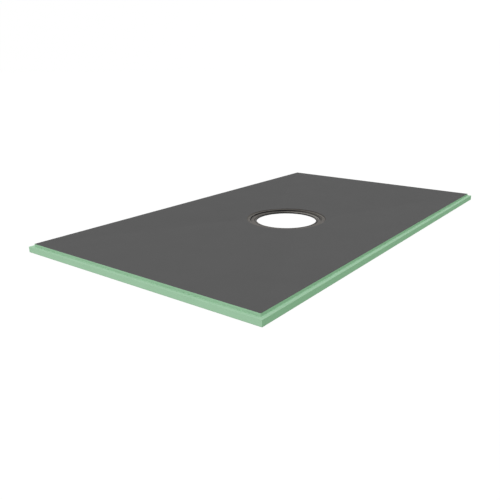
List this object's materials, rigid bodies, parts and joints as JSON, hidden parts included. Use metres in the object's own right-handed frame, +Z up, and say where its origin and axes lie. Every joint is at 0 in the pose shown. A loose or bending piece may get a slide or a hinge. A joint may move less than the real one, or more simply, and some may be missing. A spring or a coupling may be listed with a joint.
{
  "type": "foam shower pan",
  "caption": "Rectangular rigid foam shower pan with a thin grey coated top that falls to a central drain ring, and a rebate all round its edge.",
  "frame": {"origin": "middle of the underside, on the drain's axis", "axes": "+X along the long side, +Y along the short side, +Z up out of the coated face"},
  "size_m": [1.524, 0.9144, 0.0264],
  "materials": {
    "green_foam": "matt extruded foam, mint green",
    "grey_coating": "matt dark grey cement and mesh coating",
    "ring_plastic": "moulded warm dark grey plastic"
  },
  "bodies": {
    "root": {"foam_base": "green_foam", "top_coating": "grey_coating", "drain_ring": "ring_plastic"}
  },
  "joints": []
}
